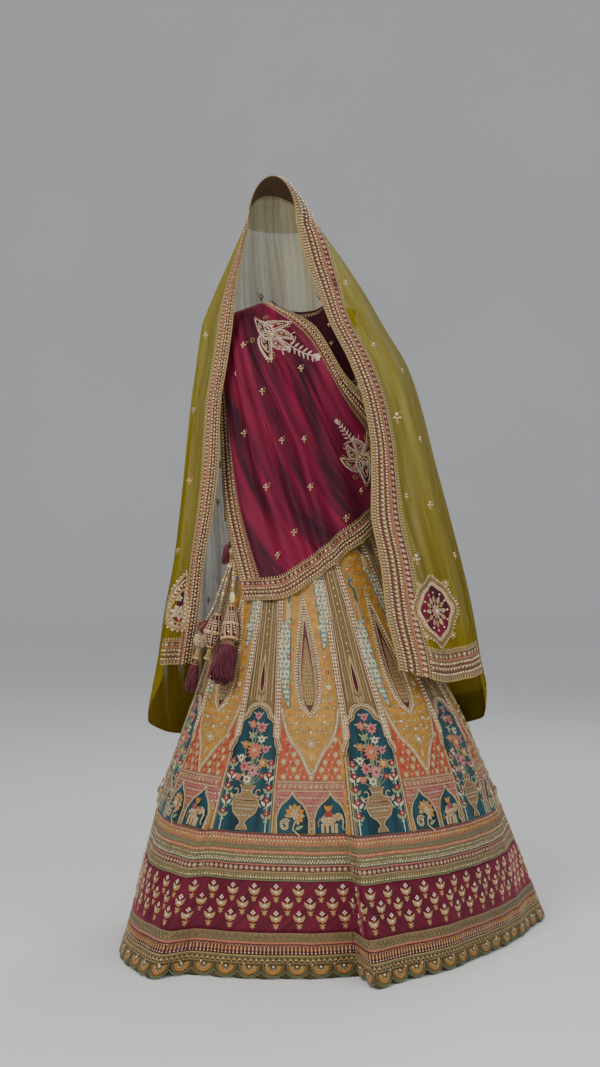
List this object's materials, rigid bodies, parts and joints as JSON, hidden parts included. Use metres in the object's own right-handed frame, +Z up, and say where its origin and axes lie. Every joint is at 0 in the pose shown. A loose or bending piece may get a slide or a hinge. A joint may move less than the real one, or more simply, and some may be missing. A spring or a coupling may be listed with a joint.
{
  "type": "lehenga choli with velvet dupatta and net veil",
  "caption": "Bridal lehenga choli: gored flared skirt with borders and scalloped hem, sleeveless blouse, draped velvet dupatta, net veil over the head and hanging latkans, hollow as worn.",
  "frame": {"origin": "middle of the skirt's waist opening, where the wearer's waist holds the set", "axes": "+Z up the wearer, -Y towards the front, +X towards the wearer's left"},
  "size_m": [1.0622, 1.1025, 1.8617],
  "materials": {
    "teal_velvet": "pile",
    "mustard_silk": "satin",
    "maroon_velvet": "pile",
    "gold_embroidery": "metallic thread",
    "gold_lace": "metallic thread",
    "olive_net": "sheer",
    "maroon_yarn": "yarn",
    "gold_cord": "metallic thread",
    "ivory_bead": "gloss"
  },
  "bodies": {
    "root": {"arch_gore_1": "teal_velvet", "arch_gore_2": "teal_velvet", "arch_gore_3": "teal_velvet", "arch_gore_4": "teal_velvet", "arch_gore_5": "teal_velvet", "arch_gore_6": "teal_velvet", "arch_gore_7": "teal_velvet", "arch_gore_8": "teal_velvet", "bead_border": "gold_embroidery", "choli_back": "maroon_velvet", "choli_front": "maroon_velvet", "hem_lace": "gold_lace", "latkan_a_ball": "maroon_yarn", "latkan_a_bead_ball": "gold_cord", "latkan_a_cap": "gold_cord", "latkan_a_string": "gold_cord", "latkan_a_tassel": "maroon_yarn", "latkan_b_bell": "gold_cord", "latkan_b_bud": "maroon_velvet", "latkan_b_string": "gold_cord", "latkan_c_bead": "ivory_bead", "latkan_c_cone": "maroon_velvet", "latkan_c_pompon": "maroon_yarn", "latkan_c_string": "gold_cord", "latkan_cord": "gold_cord", "latkan_d_tassel": "maroon_yarn", "latkan_knot": "gold_cord", "lower_border": "gold_embroidery", "peacock_gore_1": "mustard_silk", "peacock_gore_2": "mustard_silk", "peacock_gore_3": "mustard_silk", "peacock_gore_4": "mustard_silk", "peacock_gore_5": "mustard_silk", "peacock_gore_6": "mustard_silk", "peacock_gore_7": "mustard_silk", "peacock_gore_8": "mustard_silk", "veil_back": "olive_net", "veil_brow_border": "gold_embroidery", "veil_crown": "olive_net", "veil_left_border": "gold_embroidery", "veil_left_fall": "olive_net", "veil_right_border": "gold_embroidery", "veil_right_fall": "olive_net", "velvet_back": "maroon_velvet", "velvet_band": "maroon_velvet", "velvet_end_border": "gold_embroidery", "velvet_front": "maroon_velvet", "velvet_side_border": "gold_embroidery", "velvet_upper_border": "gold_embroidery", "velvet_wrap": "maroon_velvet", "waistband": "maroon_velvet"}
  },
  "joints": []
}
